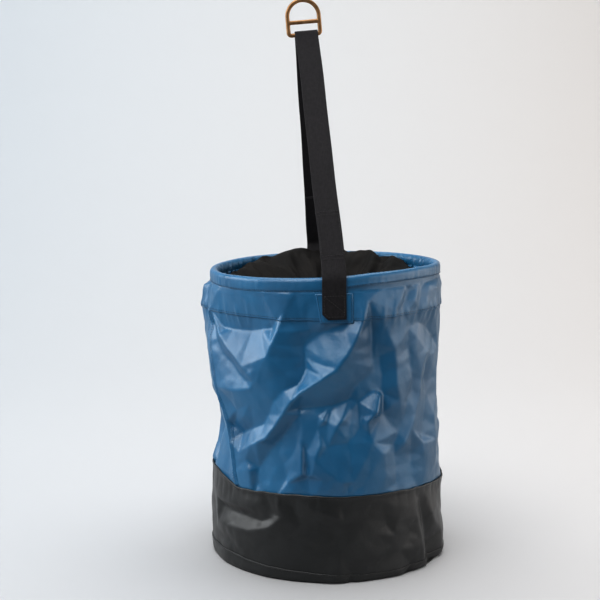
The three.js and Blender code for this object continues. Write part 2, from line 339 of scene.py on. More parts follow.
def coated_fabric(name, colours, roughness, specular, sheen):
    """Satin coated cloth: uneven colour and gloss, fine creasing, the weave just showing."""
    material = new_material(name, colours[1], roughness, Specular_IOR_Level=specular,
                            Sheen_Weight=sheen)
    ramp = add_ramp(material, add_noise(material, 16, 5), list(zip((0.3, 0.5, 0.72), colours)))
    connect(material, "Base Color", ramp)
    vary_roughness(material, add_noise(material, 45, 4), roughness - 0.05, roughness + 0.07)
    creases = add_bump(material, add_noise(material, 70, 3), 0.38, 1.3)
    add_bump(material, add_noise(material, 1100, 2), 0.10, 0.3, creases)
    return material


def soft_nylon():
    """Thin, matt and close-woven, with small creases."""
    colours = ((0.0035, 0.0033, 0.0033), (0.006, 0.0055, 0.005), (0.0085, 0.0072, 0.0062))
    material = mottled("black_nylon", colours, 0.7, (30, 4), Specular_IOR_Level=0.14)
    creases = add_bump(material, add_noise(material, 120, 3), 0.3, 0.8)
    add_bump(material, add_noise(material, 1500, 2), 0.25, 0.25, creases)
    return material


def woven_webbing():
    """Ribs along the ribbon, crossed by the weave."""
    colours = ((0.007, 0.0063, 0.0077), (0.010, 0.0093, 0.0107), (0.0145, 0.013, 0.0152))
    material = mottled("black_webbing", colours, 0.68, (260, 3), high=0.75,
                       Specular_IOR_Level=0.24, Sheen_Weight=0.02)
    weave = combine(material, "ShaderNodeMath", "MULTIPLY",
                    add_ribs(material, 15, "X"), add_ribs(material, 22, "Y"))
    ribs = add_bump(material, weave, 0.7, 0.35)
    add_bump(material, add_noise(material, 1800, 2), 0.25, 0.2, ribs)
    return material


def cast_bronze():
    colours = ((0.26, 0.145, 0.066), (0.33, 0.185, 0.085), (0.39, 0.23, 0.115))
    material = mottled("bronze", colours, 0.36, (160, 5), Metallic=0.85, Specular_IOR_Level=0.5)
    vary_roughness(material, add_noise(material, 400, 4), 0.30, 0.48)
    add_bump(material, add_noise(material, 900, 3), 0.12, 0.2)
    return material


def spring_steel():
    colours = ((0.36, 0.36, 0.37), (0.45, 0.45, 0.46), (0.52, 0.52, 0.53))
    material = mottled("spring_steel", colours, 0.35, (200, 4), Metallic=1.0)
    vary_roughness(material, add_noise(material, 500, 3), 0.28, 0.45)
    return material


def stiff_board():
    colours = ((0.024, 0.025, 0.027), (0.03, 0.031, 0.033), (0.040, 0.041, 0.043))
    material = mottled("stiff_board", colours, 0.6, (80, 5))
    add_bump(material, add_noise(material, 700, 4), 0.3, 0.3)
    return material


# Each colour from its darkest, through its even value, to its palest.
BLUE = ((0.004, 0.080, 0.174), (0.005, 0.095, 0.202), (0.007, 0.111, 0.230))
BLACK = ((0.008, 0.009, 0.0095), (0.0105, 0.0115, 0.012), (0.015, 0.016, 0.0165))
BLUE_THREAD = ((0.004, 0.028, 0.062), (0.006, 0.04, 0.085), (0.009, 0.052, 0.11))
BLACK_THREAD = ((0.012, 0.012, 0.012), (0.02, 0.02, 0.022), (0.035, 0.035, 0.035))
THREAD_LUMPS = (900, 2)

blue_cloth = coated_fabric("blue_coated", BLUE, 0.37, 0.68, 0.02)
black_cloth = coated_fabric("black_coated", BLACK, 0.42, 0.46, 0.03)
nylon = soft_nylon()
webbing = woven_webbing()
bronze = cast_bronze()
steel = spring_steel()
board = stiff_board()
blue_thread = mottled("blue_thread", BLUE_THREAD, 0.6, THREAD_LUMPS)
seam_thread = mottled("seam_thread", BLUE, 0.5, THREAD_LUMPS)
black_thread = mottled("black_thread", BLACK_THREAD, 0.6, THREAD_LUMPS)

# ---- Folds ---------------------------------------------------------------------------------

# Each fold is a line of (angle, height, depth): the wall stands out by its depth there.
FRONT_FOLDS = [
    [(-24, 347, 0), (-27, 323, 5), (-32, 290, 7), (-39, 256, 6), (-42, 229, 3)],
    [(-80, 322, 0), (-66, 315, -6), (-46, 318, -9), (-32, 324, -6), (-28, 335, -1)],
    [(-69, 317, 1), (-60, 298, 2), (-50, 283, 5), (-42, 266, 7), (-37, 257, 6)],
    [(-68, 300, -1), (-62, 286, 0), (-53, 273, 1), (-45, 257, 3)],
    [(-63, 239, 6), (-52, 240, 7), (-41, 246, 6)],
    [(-57, 190, -1), (-53, 181, -5), (-44, 192, -4), (-37, 199, -3), (-33, 214, -1)],
    [(-56, 222, 2), (-49, 203, 1)],
    [(-17, 322, -4), (-15, 302, -8), (-14, 274, -7), (-17, 256, -3), (-25, 246, 0), (-30, 231, 0.5),
     (-33, 214, -1)],
    [(6, 285, 6), (-5, 267, 8), (-15, 249, 6.5), (-20, 235, 5), (-24, 219, 5), (-28, 203, 5.5),
     (-33, 185, 7), (-42, 172, 5), (-51, 158, 3)],
    [(-21, 205, -4), (-26, 188, -4), (-31, 173, -3), (-25, 151, -3), (-24, 132, -2)],
    [(-18, 224, -6), (-9, 226, -6), (-2, 227, -7), (7, 233, -8), (11, 252, -5)],
    [(-17, 216, -4), (-16, 199, -2), (-12, 177, -1), (-8, 202, -3), (-8, 215, -4)],
    [(-2, 226, -6), (-6, 210, 0)],
    [(-3, 219, -5), (-3.5, 206, -3)],
    [(-1.5, 221, -5), (0.5, 203, 2), (3, 210, 2), (7, 232, -7)],
    [(8, 222, -4), (7, 205, -2)],
    [(22, 236, 1), (19, 218, 6), (15, 206, 3)],
    [(12, 231, -6), (13, 213, -5), (13, 200, -3)],
    [(-46, 152, 3), (-43, 138, 4), (-43, 119, 2)],
    [(-40, 141, -3), (-41, 121, -3)],
    [(-17, 199, -3), (-16, 170, 2), (-15.5, 142, 4)],
    [(-18, 196, -3), (-21, 148, 0), (-23, 128, 1)],
    [(-14.5, 172, -2), (-14, 150, -2), (-13.5, 137, -1)],
    [(-7, 179, 2), (-9.5, 160, 4), (-12, 140, 2)],
    [(-4, 177, -1), (6, 181, -1), (14, 186, 0)],
    [(-6, 134, 3), (2, 133, 3), (14, 130, 2)],
    [(3, 131, 3), (3, 114, 1)],
    [(6, 126, 0), (6, 114, 0)],
    [(16, 361, 3), (13, 339, 8), (10, 318, 9), (7, 300, 8), (6, 285, 6)],
    [(-21, 333, -3), (-11, 326, -5), (-2, 328, -5), (5, 333, -2)],
    [(18, 333, -2), (19, 304, -4), (20, 272, -5), (20, 244, -5)],
    [(21, 306, -2), (23.5, 287, -4), (25, 262, -5), (25, 240, -5), (24, 215, -3)],
    [(24, 330, 1), (27, 314, 2), (30, 296, 3), (31, 275, 3), (31, 250, 3), (33, 230, 2)],
    [(40, 318, -1), (40, 298, -2), (41, 280, -1), (43, 252, -1), (43, 236, -1)],
    [(45, 306, 1), (44, 284, 2), (47, 262, 2)],
    [(30, 345, 1), (33, 356, 2), (36, 369, 1)],
    [(39, 341, 0), (42, 353, 2), (45, 368, 1)],
    [(50, 342, 1), (54, 367, 2)],
    [(60, 342, 1), (62, 366, 2)],
    [(34, 345, -1), (40, 366, -2)],
    [(46, 343, -1), (49, 366, -1)],
    [(39, 328, -1), (48, 324, -2), (56, 313, -3), (63, 297, -1)],
    [(60, 262, 2), (57, 278, 2), (53, 283, 3), (49, 268, 3), (48, 250, 2)],
    [(54, 266, 0), (54, 246, -2)],
    [(39, 232, -1), (38, 212, -1), (33, 188, -2)],
    [(47, 230, 2), (43, 208, 2)],
    [(66, 300, 2), (68, 262, 3), (66, 226, 2)],
    [(43, 208, 2), (40, 190, 2), (36, 174, 2)],
    [(55, 225, -1), (53, 196, -2), (50, 176, -1)],
    [(48, 168, 3), (50, 131, 2)],
    [(42, 158, -3), (41, 129, -2)],
    [(60, 200, 3), (61, 165, 4), (62, 135, 2)],
    [(16, 190, 1), (18, 180, 3), (23, 165, 4), (24, 140, 3), (23.5, 118, 1)],
    [(30, 172, -3), (32, 145, -3), (31, 124, -2)],
    [(-75, 300, 2), (-71, 272, 4), (-64, 219, 5), (-60, 195, 5), (-57, 170, 5), (-55, 145, 4),
     (-53, 116, 1)],
    [(-78, 262, -1), (-72, 219, -2), (-67, 185, -2), (-62, 150, -1)],
    [(-89, 373, 6), (-89, 345, 5), (-88, 300, 1), (-88, 258, -2), (-86, 226, -8), (-86, 196, -12),
     (-86, 165, -9), (-86, 133, -6), (-86, 118, -3)],
    [(82, 350, -1), (82, 300, -3), (82, 262, -8), (82, 250, -10), (82, 225, -7), (82, 195, -7),
     (82, 160, -8), (82, 130, -4)],
]


def spread(lines, spacing):
    """Points along the fold lines, at most spacing apart, and the pairs that they join."""
    points, pairs = [], []
    for line in lines:
        for start, end in zip(line, line[1:]):
            run = math.hypot((end[0] - start[0]) * DEGREE, end[1] - start[1])
            steps = max(1, math.ceil(run / spacing))
            for i in range(steps):
                share = i / steps
                points.append([a + (b - a) * share for a, b in zip(start, end)])
                pairs.append((len(points) - 1, len(points)))
        points.append(list(line[-1]))
    return points, pairs


def scattered(taken, spacing, clear, depth, low, high, seed, open_front=0):
    """Jittered points on the rest of the wall, kept clear of the points already taken.
    With an open front, none lie within that angle of it."""
    rng = np.random.default_rng(seed)
    known = np.array([(p[0] * DEGREE, p[1]) for p in taken]).reshape(-1, 2)
    around = 360 * DEGREE
    found = []
    columns = round(around / spacing)
    rows = max(1, round((high - low) / (0.87 * spacing)))
    for row in range(rows):
        for column in range(columns):
            u = (column + 0.5 * (row % 2)) * spacing + rng.uniform(-0.3, 0.3) * spacing
            v = low + (row + 0.5) * (high - low) / rows + rng.uniform(-0.3, 0.3) * spacing
            out = rng.uniform(-1, 1) * depth
            near = np.abs((known[:, 0] - u + around / 2) % around - around / 2)
            if len(known) and np.hypot(near, known[:, 1] - v).min() < clear:
                continue
            if abs((u / DEGREE + 180) % 360 - 180) >= open_front:
                found.append([u / DEGREE, min(max(v, low), high), out])
    return found


def net_field(points, pairs, angles, heights):
    """Heights of a net of flat facets between the points, on a grid of angles and heights."""
    points = [((p[0] + 180) % 360 - 180, p[1], p[2]) for p in points]
    flat, depth, joins = [], [], []
    for turn in (-360, 0, 360):
        first = len(flat)
        flat += [Vector(((p[0] + turn) * DEGREE, p[1])) for p in points]
        depth += [p[2] for p in points]
        joins += [(a + first, b + first) for a, b in pairs
                  if abs(points[a][0] - points[b][0]) < 180]
    made, _, faces, sources, _, _ = delaunay_2d_cdt(flat, joins, [], 0, 1e-4)
    place = np.array([(v.x, v.y) for v in made])
    value = np.zeros(len(made))
    origin = np.array([(v.x, v.y) for v in flat])
    for i, source in enumerate(sources):
        if source:
            value[i] = depth[source[0]]
        else:
            gap = np.hypot(*(origin - place[i]).T)
            near = np.argsort(gap)[:2]
            value[i] = np.average(np.array(depth)[near], weights=1 / (gap[near] + 1e-6))
    us = angles * DEGREE
    field = np.zeros((len(heights), len(angles)))
    for a, b, c in faces:
        pa, pb, pc = corners = place[[a, b, c]]
        low, high = corners.min(0), corners.max(0)
        columns = np.where((us >= low[0]) & (us <= high[0]))[0]
        rows = np.where((heights >= low[1]) & (heights <= high[1]))[0]
        if not len(columns) or not len(rows):
            continue
        gu, gv = np.meshgrid(us[columns], heights[rows])
        det = (pb[1] - pc[1]) * (pa[0] - pc[0]) + (pc[0] - pb[0]) * (pa[1] - pc[1])
        if abs(det) < 1e-9:
            continue
        wa = ((pb[1] - pc[1]) * (gu - pc[0]) + (pc[0] - pb[0]) * (gv - pc[1])) / det
        wb = ((pc[1] - pa[1]) * (gu - pc[0]) + (pa[0] - pc[0]) * (gv - pc[1])) / det
        wc = 1 - wa - wb
        inside = (wa >= -1e-6) & (wb >= -1e-6) & (wc >= -1e-6)
        part = field[np.ix_(rows, columns)]
        part[inside] = (wa * value[a] + wb * value[b] + wc * value[c])[inside]
        field[np.ix_(rows, columns)] = part
    return field


def blurred(field, across, along):
    """A soft copy of the field: it wraps round the bag, and across and along are in cells."""
    for axis, sigma in ((1, across), (0, along)):
        reach = max(1, int(3 * sigma))
        weights = np.exp(-0.5 * (np.arange(-reach, reach + 1) / sigma) ** 2)
        weights /= weights.sum()
        if axis == 1:
            padded = np.concatenate([field[:, -reach:], field, field[:, :reach]], 1)
        else:
            low, high = field[:1].repeat(reach, 0), field[-1:].repeat(reach, 0)
            padded = np.concatenate([low, field, high], 0)
        count = field.shape[axis]
        field = sum(w * padded.take(range(i, i + count), axis) for i, w in enumerate(weights))
    return field


FOLD_DEPTH = 1.4
COLUMNS = 540
WALL_ROWS = 150
WALL_LOW, WALL_HIGH = 104.0, 374.0
wall_angles = np.arange(COLUMNS) * 360 / COLUMNS - 180
wall_heights = np.linspace(WALL_LOW, WALL_HIGH, WALL_ROWS)


def side_folds():
    """The front's folds again on the rest of the wall: mirrored, or turned over, and shrunk."""
    right = [[(121 - 0.9 * a, h, 0.9 * d) for a, h, d in line] for line in FRONT_FOLDS[:-2]]
    left = [[(-122 - 0.85 * (a + 4), 480 - h, -0.9 * d) for a, h, d in line]
            for line in FRONT_FOLDS[:-2] if all(130 < 480 - h < 350 for _, h, _ in line)]
    return [line for line in right + left if all(94 < a % 360 < 258 for a, _, _ in line)]


# Where the whole wall leans out or in: an angle, how wide, and the depth at each height.
SLUMPS = [
    (-91, 24, [(112, 0), (125, 1), (145, -6), (180, -9), (205, -5), (222, 1), (240, 5), (262, 8),
               (300, 9), (340, 7), (364, 3), (371, 0)]),
    (82, 20, [(112, 0), (200, 0), (250, -3), (300, 0), (345, 2), (362, 3), (371, 0)]),
    (150, 30, [(112, 0), (180, 4), (240, -3), (310, 2), (371, 0)]),
    (-150, 26, [(112, 0), (160, -4), (230, 4), (300, -3), (371, 0)]),
]


def look_up(table, where):
    """What a table of (place, value) says at each place, and evenly in between."""
    return np.interp(where, [place for place, _ in table], [value for _, value in table])


def slump(angle, height):
    """The wall's broad bulges and hollows."""
    total = 0
    for middle, width, profile in SLUMPS:
        gap = (angle - middle + 180) % 360 - 180
        total = total + np.exp(-0.5 * (gap / width) ** 2) * look_up(profile, height)
    return total


def gathers(angle, height, seam, middles, depth, seed):
    """Small upright puckers where cloth is drawn into a seam, at these angles."""
    rng = np.random.default_rng(seed)
    total = np.zeros(np.broadcast(angle, height).shape)
    for middle in middles:
        middle = middle + rng.uniform(-1, 1)
        slant = 0.05 * rng.uniform(-1, 1)
        gap = (angle - middle - slant * (height - seam) + 180) % 360 - 180
        reach = np.where(height > seam, rng.uniform(7, 20), rng.uniform(9, 22))
        fade = np.exp(-((height - seam) / reach) ** 2)
        total += rng.uniform(0.4, 1) * depth * fade * np.exp(-(gap / GATHER_WIDTH) ** 2)
    return total


GATHER_WIDTH = 1.25
HEM_GATHERS = [*np.arange(24, 84, 4.6), *np.arange(96, 320, 7.5)]
BAND_GATHERS = [*np.arange(-72, -4, 5.2), *np.arange(30, 84, 7.0), *np.arange(96, 280, 8.5)]


def near_strap(angle, half_width):
    """1 at the front and rear, where the strap is sewn on, fading to 0 away from them."""
    gap = np.minimum(np.abs(angle), 180 - np.abs(angle))
    return np.clip(1.6 - gap / half_width, 0, 1)


DENT_SPACING = 12


def small_dents(depth, low, high, seed, heights):
    """A field of small dents all over, a little past its lowest and highest rows."""
    points = scattered([], DENT_SPACING, 0, depth, low, high, seed)
    return blurred(net_field(points, [], wall_angles, heights), 0.8, 0.8)


def wall_relief():
    """How far the wall stands out from its plain round shape."""
    points, pairs = spread(FRONT_FOLDS + side_folds(), 26)
    edge = [[a, h, 0] for h in (WALL_LOW, WALL_HIGH) for a in range(-180, 180, 6)]
    filler = scattered(points + edge, spacing=30, clear=15, depth=2.2, low=WALL_LOW, high=WALL_HIGH,
                       seed=11, open_front=72)
    field = FOLD_DEPTH * net_field(points + filler + edge, pairs, wall_angles, wall_heights)
    field = blurred(field, 0.65, 0.6)
    field += small_dents(0.65, WALL_LOW - 8, WALL_HIGH + 8, 5, wall_heights)
    angle, height = wall_angles[None, :], wall_heights[:, None]
    field += gathers(angle, height, HEM_SEAM, HEM_GATHERS, 1.9, 61)
    sewn = near_strap(angle, 8) * np.interp(height, [322, 334], [0, 1])
    return field * (1 - sewn) + slump(angle, height)


relief = wall_relief()

# ---- Mesh making ---------------------------------------------------------------------------


def place_on_bag(angle, radius, height):
    """Points in metres, from angles, radii and heights, on the settled bag."""
    share = np.clip((height - BASE_TOP) / (RIM_TOP - BASE_TOP), 0, None)
    x = radius * np.sin(np.radians(angle))
    y = -radius * np.cos(np.radians(angle))
    rise = math.tan(math.radians(SETTLE_TILT))
    return np.stack([x + SETTLE_SHIFT * share, y, height + rise * x * share], -1) * MM


def unit(vectors):
    return vectors / np.maximum(np.linalg.norm(vectors, axis=-1, keepdims=True), 1e-12)


def grid_normals(grid, wrap):
    """Unit normals of a grid of points whose columns run round the bag and rows run up."""
    if wrap:
        across = np.roll(grid, -1, 1) - np.roll(grid, 1, 1)
    else:
        across = np.gradient(grid, axis=1)
    return unit(np.cross(across, np.gradient(grid, axis=0)))


def grid_faces(rows, columns, wrap, first=0, flip=False):
    faces = []
    for r in range(rows - 1):
        for c in range(columns if wrap else columns - 1):
            d = (c + 1) % columns
            face = (first + r * columns + c, first + r * columns + d,
                    first + (r + 1) * columns + d, first + (r + 1) * columns + c)
            faces.append(face[::-1] if flip else face)
    return faces


def add_piece(name, verts, faces, material, body=None):
    """A smooth mesh object, which moves with a body where one is named."""
    mesh = bpy.data.meshes.new(name)
    mesh.from_pydata(verts, [], faces)
    mesh.polygons.foreach_set("use_smooth", [True] * len(faces))
    mesh.materials.append(material)
    piece = bpy.data.objects.new(name, mesh)
    bpy.context.scene.collection.objects.link(piece)
    if body:
        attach(piece, body)
    return piece


def cloth_shell(name, grid, material, wrap=True, thickness=FABRIC, hub=False):
    """A closed sheet: the grid is its outer face, and an inner face lies under it.
    With a hub, the last row is filled in, as at the middle of a disc."""
    rows, columns = grid.shape[:2]
    under = grid - grid_normals(grid, wrap) * thickness * MM
    count = rows * columns
    verts = np.concatenate([grid.reshape(-1, 3), under.reshape(-1, 3)])
    faces = grid_faces(rows, columns, wrap) + grid_faces(rows, columns, wrap, count, True)
    ring = list(range(columns)) + ([0] if wrap else [])
    top = (rows - 1) * columns
    for a, b in zip(ring, ring[1:]):
        faces.append((a, a + count, b + count, b))
        if not hub:
            faces.append((top + b, top + b + count, top + a + count, top + a))
    if hub:
        faces.append(tuple(range(top, top + columns)))
        faces.append(tuple(range(top + count, top + count + columns))[::-1])
    if not wrap:
        for r in range(rows - 1):
            a, b = r * columns, (r + 1) * columns
            faces.append((a, b, b + count, a + count))
            a, b = a + columns - 1, b + columns - 1
            faces.append((b, a, a + count, b + count))
    return add_piece(name, verts.tolist(), faces, material)


def add_cloth(name, grid, material, node, body, **shell):
    """A closed sheet in a CAD node's place, which moves with a body."""
    cloth = cloth_shell(name, grid, material, **shell)
    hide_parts(node)
    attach(cloth, body)
    return cloth


def tube_faces(count, around, closed=False, first=0):
    """Faces through rings of points, with the ends capped unless it closes on itself."""
    faces = []
    for i in range(count if closed else count - 1):
        low, high = first + i * around, first + (i + 1) % count * around
        for a in range(around):
            b = (a + 1) % around
            faces.append((low + a, low + b, high + b, high + a))
    if not closed:
        faces.append(tuple(range(first, first + around))[::-1])
        faces.append(tuple(range(first + (count - 1) * around, first + count * around)))
    return faces


def swept(name, rings, material, closed=False):
    """A solid through rings of points."""
    count, around = rings.shape[:2]
    faces = tube_faces(count, around, closed)
    return add_piece(name, rings.reshape(-1, 3).tolist(), faces, material)


def run_along(line):
    """How far along the line each of its points is."""
    return np.concatenate([[0], np.cumsum(np.linalg.norm(np.diff(line, axis=0), axis=1))])


def along_line(line, run, where):
    """The line's value at one place along its run."""
    return np.array([np.interp(where, run, line[:, k]) for k in range(3)])


STITCH_PITCH = 3.4
STITCH_LENGTH = 2.5
STITCH_WIDTH = 0.62
# A stitch's rings: their share of its length, their size, and how far they stand up.
STITCH_RINGS = ((0, 0.35, -0.4), (0.2, 0.9, 0.1), (0.5, 1, 0.3), (0.8, 0.9, 0.1), (1, 0.35, -0.4))
STITCH_SIDES = 6


def stitch_verts(low, high, out):
    """Points round one stitch, from its low end to its high end."""
    side = unit(np.cross(unit(high - low), out))
    verts = []
    for share, size, lift in STITCH_RINGS:
        centre = low + (high - low) * share + out * lift * STITCH_WIDTH / 2 * MM
        reach = size * STITCH_WIDTH / 2 * MM
        for k in range(STITCH_SIDES):
            turn = 2 * math.pi * k / STITCH_SIDES
            verts.append(tuple(centre + reach * (math.cos(turn) * side + math.sin(turn) * out)))
    return verts


def add_stitches(name, rows, material, body):
    """Rows of thread, each a line of points in metres with the direction that faces out."""
    verts, faces = [], []
    half = STITCH_LENGTH / 2 * MM
    for line, outs in rows:
        run = run_along(line)
        for middle in np.arange(STITCH_PITCH / 2, run[-1] / MM, STITCH_PITCH) * MM:
            low, high = (along_line(line, run, middle + end * half) for end in (-1, 1))
            first = len(verts)
            verts += stitch_verts(low, high, unit(along_line(outs, run, middle)))
            faces += tube_faces(len(STITCH_RINGS), STITCH_SIDES, False, first)
    return add_piece(name, verts, faces, material, body)


def sample(field, low, high, angle, height):
    """A field's value at any angle and height, between its cells."""
    rows = field.shape[0]
    u = (np.asarray(angle, float) + 180) / 360 * COLUMNS % COLUMNS
    v = np.clip((np.asarray(height, float) - low) / (high - low) * (rows - 1), 0, rows - 1.001)
    u, v = np.broadcast_arrays(u, v)
    left, under = u.astype(int) % COLUMNS, v.astype(int)
    right = (left + 1) % COLUMNS
    a, b = u - u.astype(int), v - under
    return ((field[under, left] * (1 - a) + field[under, right] * a) * (1 - b)
            + (field[under + 1, left] * (1 - a) + field[under + 1, right] * a) * b)


def waves(angle, counts, seed):
    """Uneven ripples round the bag, between about -1 and 1."""
    rng = np.random.default_rng(seed)
    total = np.zeros_like(np.asarray(angle, float))
    for count in counts:
        size = rng.uniform(0.5, 1)
        total = total + size * np.sin(np.radians(count * angle) + rng.uniform(0, 2 * math.pi))
    return total / (0.6 * len(counts))


# ---- Base ----------------------------------------------------------------------------------

# The base's folds, in the same form as the wall's.
BASE_FOLDS = [
    [(-67, 76, -5), (-56, 76, -6), (-47, 76, -5), (-37, 73, -4), (-32, 79, -2)],
    [(-70, 53, 3), (-57, 55, 4), (-44, 58, 4), (-33, 68, 4), (-29, 76, 3)],
    [(-80, 84, 1), (-67, 85, 2), (-51, 88, 2), (-42, 91, 3), (-37, 99, 2)],
    [(-34, 104, -2), (-31, 86, -3)],
    [(-28, 103, 3), (-25, 80, 2)],
    [(-22, 104, -3), (-17, 76, -3)],
    [(-12, 96, 1), (-5, 91, 3), (1, 84, 2)],
    [(-9, 82, -1), (-3, 78, -2), (4, 80, -1)],
    [(46, 106, -2), (48, 83, -4), (51, 54, -4), (56, 26, -8), (57, 6, -7)],
    [(42, 103, 0), (44, 68, 3), (47, 32, 6), (49, 14, 4)],
    [(50, 104, -1), (53, 88, 1), (55, 70, 5), (58, 58, 4)],
    [(62, 104, -1), (65, 88, 0), (68, 52, 3), (68, 23, 6), (70, 8, 5)],
    [(33, 87, 2), (30, 63, 3), (28, 43, 1)],
    [(23, 99, -1), (25, 71, -2)],
    [(78, 30, 4), (80, 12, 3)],
    [(80, 90, -1), (84, 62, -3)],
    [(-12, 5, 0), (-8, 5, 1), (-2, 3, 4), (4, 3, 3)],
    [(6.6, 3, -3), (7.2, 12, -1)],
    [(10, 4, 1), (16, 4, 0)],
    [(33, 5, 2)],
    [(39, 3, -3), (40, 12, -1)],
    [(-84, 100, 0), (-88, 62, 3), (-84, 30, 1)],
]
# The lowest and highest rows of the base's folds.
BASE_LOW, BASE_HIGH = -6.0, 134.0
# The heights of the binding's and the band's top edges, by angle.
BINDING_TOP = [(-180, 14), (-80, 19), (-59, 20), (-39, 17), (-17, 14.5), (7, 11), (24, 9.5),
               (36, 10), (54, 11), (80, 12), (110, 14), (180, 14)]
BAND_EDGE = [(-180, 113), (-110, 116), (-84, 124), (-74, 124), (-63, 119), (-53, 111), (-38, 113),
             (-17, 115), (4, 113), (33, 113.5), (64, 109), (84, 103.5), (120, 111), (180, 113)]


def base_relief():
    """How far the base's wall stands out: its folds, and more like them round the back."""
    back = [[(a + 150, h, -d) for a, h, d in line] for line in BASE_FOLDS[:9]]
    back += [[(-a - 165, h, d) for a, h, d in line] for line in BASE_FOLDS[8:14]]
    back = [line for line in back if all(96 < a % 360 < 262 for a, _, _ in line)]
    points, pairs = spread(BASE_FOLDS + back, 8)
    edge = [[a, h, 0] for a in range(-180, 180, 6) for h in (BASE_LOW, BASE_HIGH)]
    filler = scattered(points + edge, spacing=26, clear=14, depth=1.5, low=BASE_LOW + 6,
                       high=BASE_HIGH - 20, seed=31)
    heights = np.linspace(BASE_LOW, BASE_HIGH, 90)
    field = blurred(net_field(points + filler + edge, pairs, wall_angles, heights), 1.0, 1.0)
    angle, height = wall_angles[None, :], heights[:, None]
    field += gathers(angle, height, BAND_SEAM, BAND_GATHERS, -1.6, 62)
    return field + small_dents(0.5, BASE_LOW - 6, BASE_HIGH + 6, 32, heights)


base_folds = base_relief()


def base_out(angle, height):
    """How far out the base band stands, folds and all: they fade where it is sewn on."""
    plain = np.interp(height, [0, 5, 30, 70, BASE_TOP], [153.6, 155.0, 155.6, 155.6, 155.6])
    fade = np.interp(height, [BAND_SEAM - 14, BAND_SEAM], [1, 0.3])
    return plain + fade * sample(base_folds, BASE_LOW, BASE_HIGH, angle, height)


def binding_out(angle, height):
    return base_out(angle, height) + BINDING_STEP


# ---- Wall and hem --------------------------------------------------------------------------


def wall_radius(height):
    """The wall's plain radius: widest at the base band, a little narrower above."""
    return np.interp(height, [BASE_TOP, 180, 260, 322, 388], [154.2, 152.4, 151.4, 150.8, 151.2])


# The wall swells a little at the hem's seam on the right of the front: angles, then how far.
HEM_FLARE_ROUND = ([14, 27, 62, 82], [0, 2.8, 2.8, 0])


def wall_out(angle, height):
    """How far out the wall stands, folds and all: it stays behind the base band."""
    out = wall_radius(height) + sample(relief, WALL_LOW, WALL_HIGH, angle, height)
    flare_height = np.interp(height, [285, HEM_SEAM, CASING_BOTTOM], [0, 1, 0])
    out = out + np.interp(angle, *HEM_FLARE_ROUND) * flare_height
    behind = base_out(angle, height) - FABRIC - 0.4
    above = np.clip((height - look_up(BAND_EDGE, angle)) / 4, 0, 1)
    return np.where(above < 1, np.minimum(out, behind + 6 * above), out)


def tucked_wall_out(angle, height):
    """The wall, turned in a little where it goes up behind the hem."""
    return wall_out(angle, height) - WALL_TUCK * np.clip((height - HEM_SEAM + 1) / 3, 0, 1)


def hem_out(angle, height):
    """How far out the hem stands: over the wall, and in under the casing at its top."""
    under_casing = UNDER_CASING + 2 * np.clip(CASING_BOTTOM + 0.5 - height, 0, 100)
    return np.minimum(wall_out(angle, height) + HEM_STEP, under_casing)


def bag_rows(heights, outwards):
    """A grid of points round the bag at these heights, standing out as the function says."""
    height, angle = np.meshgrid(heights, wall_angles, indexing="ij")
    return place_on_bag(angle, outwards(angle, height), height)


def stitch_line(angles, heights, outwards, offset):
    """A line of stitches on the bag, with the directions that face out."""
    angles = np.asarray(angles, float)
    heights = np.broadcast_to(np.asarray(heights, float), angles.shape)
    line = place_on_bag(angles, outwards(angles, heights) + offset, heights)
    outs = np.stack([np.sin(np.radians(angles)), -np.cos(np.radians(angles)), 0 * angles], -1)
    return line, outs


ROUND = np.linspace(-180, 180, 361)


def stitch_round(name, heights, outwards, offset, material, body):
    """A row of stitches right round the bag."""
    add_stitches(name, [stitch_line(ROUND, heights, outwards, offset)], material, body)


def add_wall():
    grid = bag_rows(np.linspace(WALL_LOW, WALL_TOP, 141), tucked_wall_out)
    return add_cloth("wall_cloth", grid, blue_cloth, "body_panel", "base")


# The side seam's angle at each height.
SEAM_PATH = [(113, -53), (145, -55), (170, -57), (195, -60), (219, -64), (272, -71), (300, -75),
             (339, -78)]


def add_side_seam():
    """The lapped seam down the wall, with its two rows of stitches."""
    heights = np.linspace(SEAM_PATH[0][0], SEAM_PATH[-1][0], 90)
    middle = look_up(SEAM_PATH, heights)
    across = np.linspace(-SEAM_HALF, SEAM_HALF, 21)
    lift = 0.7 - 0.5 * (np.abs(across) / SEAM_HALF) ** 4 + 1.5 * np.exp(-(across / 1.5) ** 2)
    angle = middle[:, None] + across[None, :] / DEGREE
    height = np.repeat(heights[:, None], len(across), 1)
    grid = place_on_bag(angle, wall_out(angle, height) + lift[None, :], height)
    seam = add_cloth("side_seam", grid, blue_cloth, "side_seam_tape", "base", wrap=False,
                     thickness=THIN_FABRIC)
    rows = [stitch_line(middle + side * 3.2 / DEGREE, heights, wall_out, 1.0) for side in (-1, 1)]
    return seam, add_stitches("side_seam_stitches", rows, seam_thread, "base")


def add_hem():
    grid = bag_rows(np.linspace(HEM_SEAM - 2, HEM_TOP, 26), hem_out)
    hem = add_cloth("hem_cloth", grid, blue_cloth, "hem_band", "rim")
    stitch_round("hem_stitches", HEM_SEAM + 1.2, hem_out, 0.15, blue_thread, "rim")
    return hem


# ---- Casing, facing and sleeve -------------------------------------------------------------

# The casing's outside, from the outer stitch line over the hoop to the inner one: its radius,
# its height, and how far its ripples swing there.
CASING_SHAPE = [(151.9, 370.6, 0.0), (152.8, 373.2, 0.7), (153.4, 377.0, 1.0), (153.5, 381.0, 1.0),
                (153.2, 384.6, 0.8), (151.6, 387.2, 0.6), (148.4, 388.1, 0.5), (145.2, 387.4, 0.8),
                (142.9, 384.8, 1.7), (141.9, 381.0, 2.3), (142.0, 377.0, 2.3), (142.8, 373.2, 1.6),
                (143.8, 370.6, 0.6)]


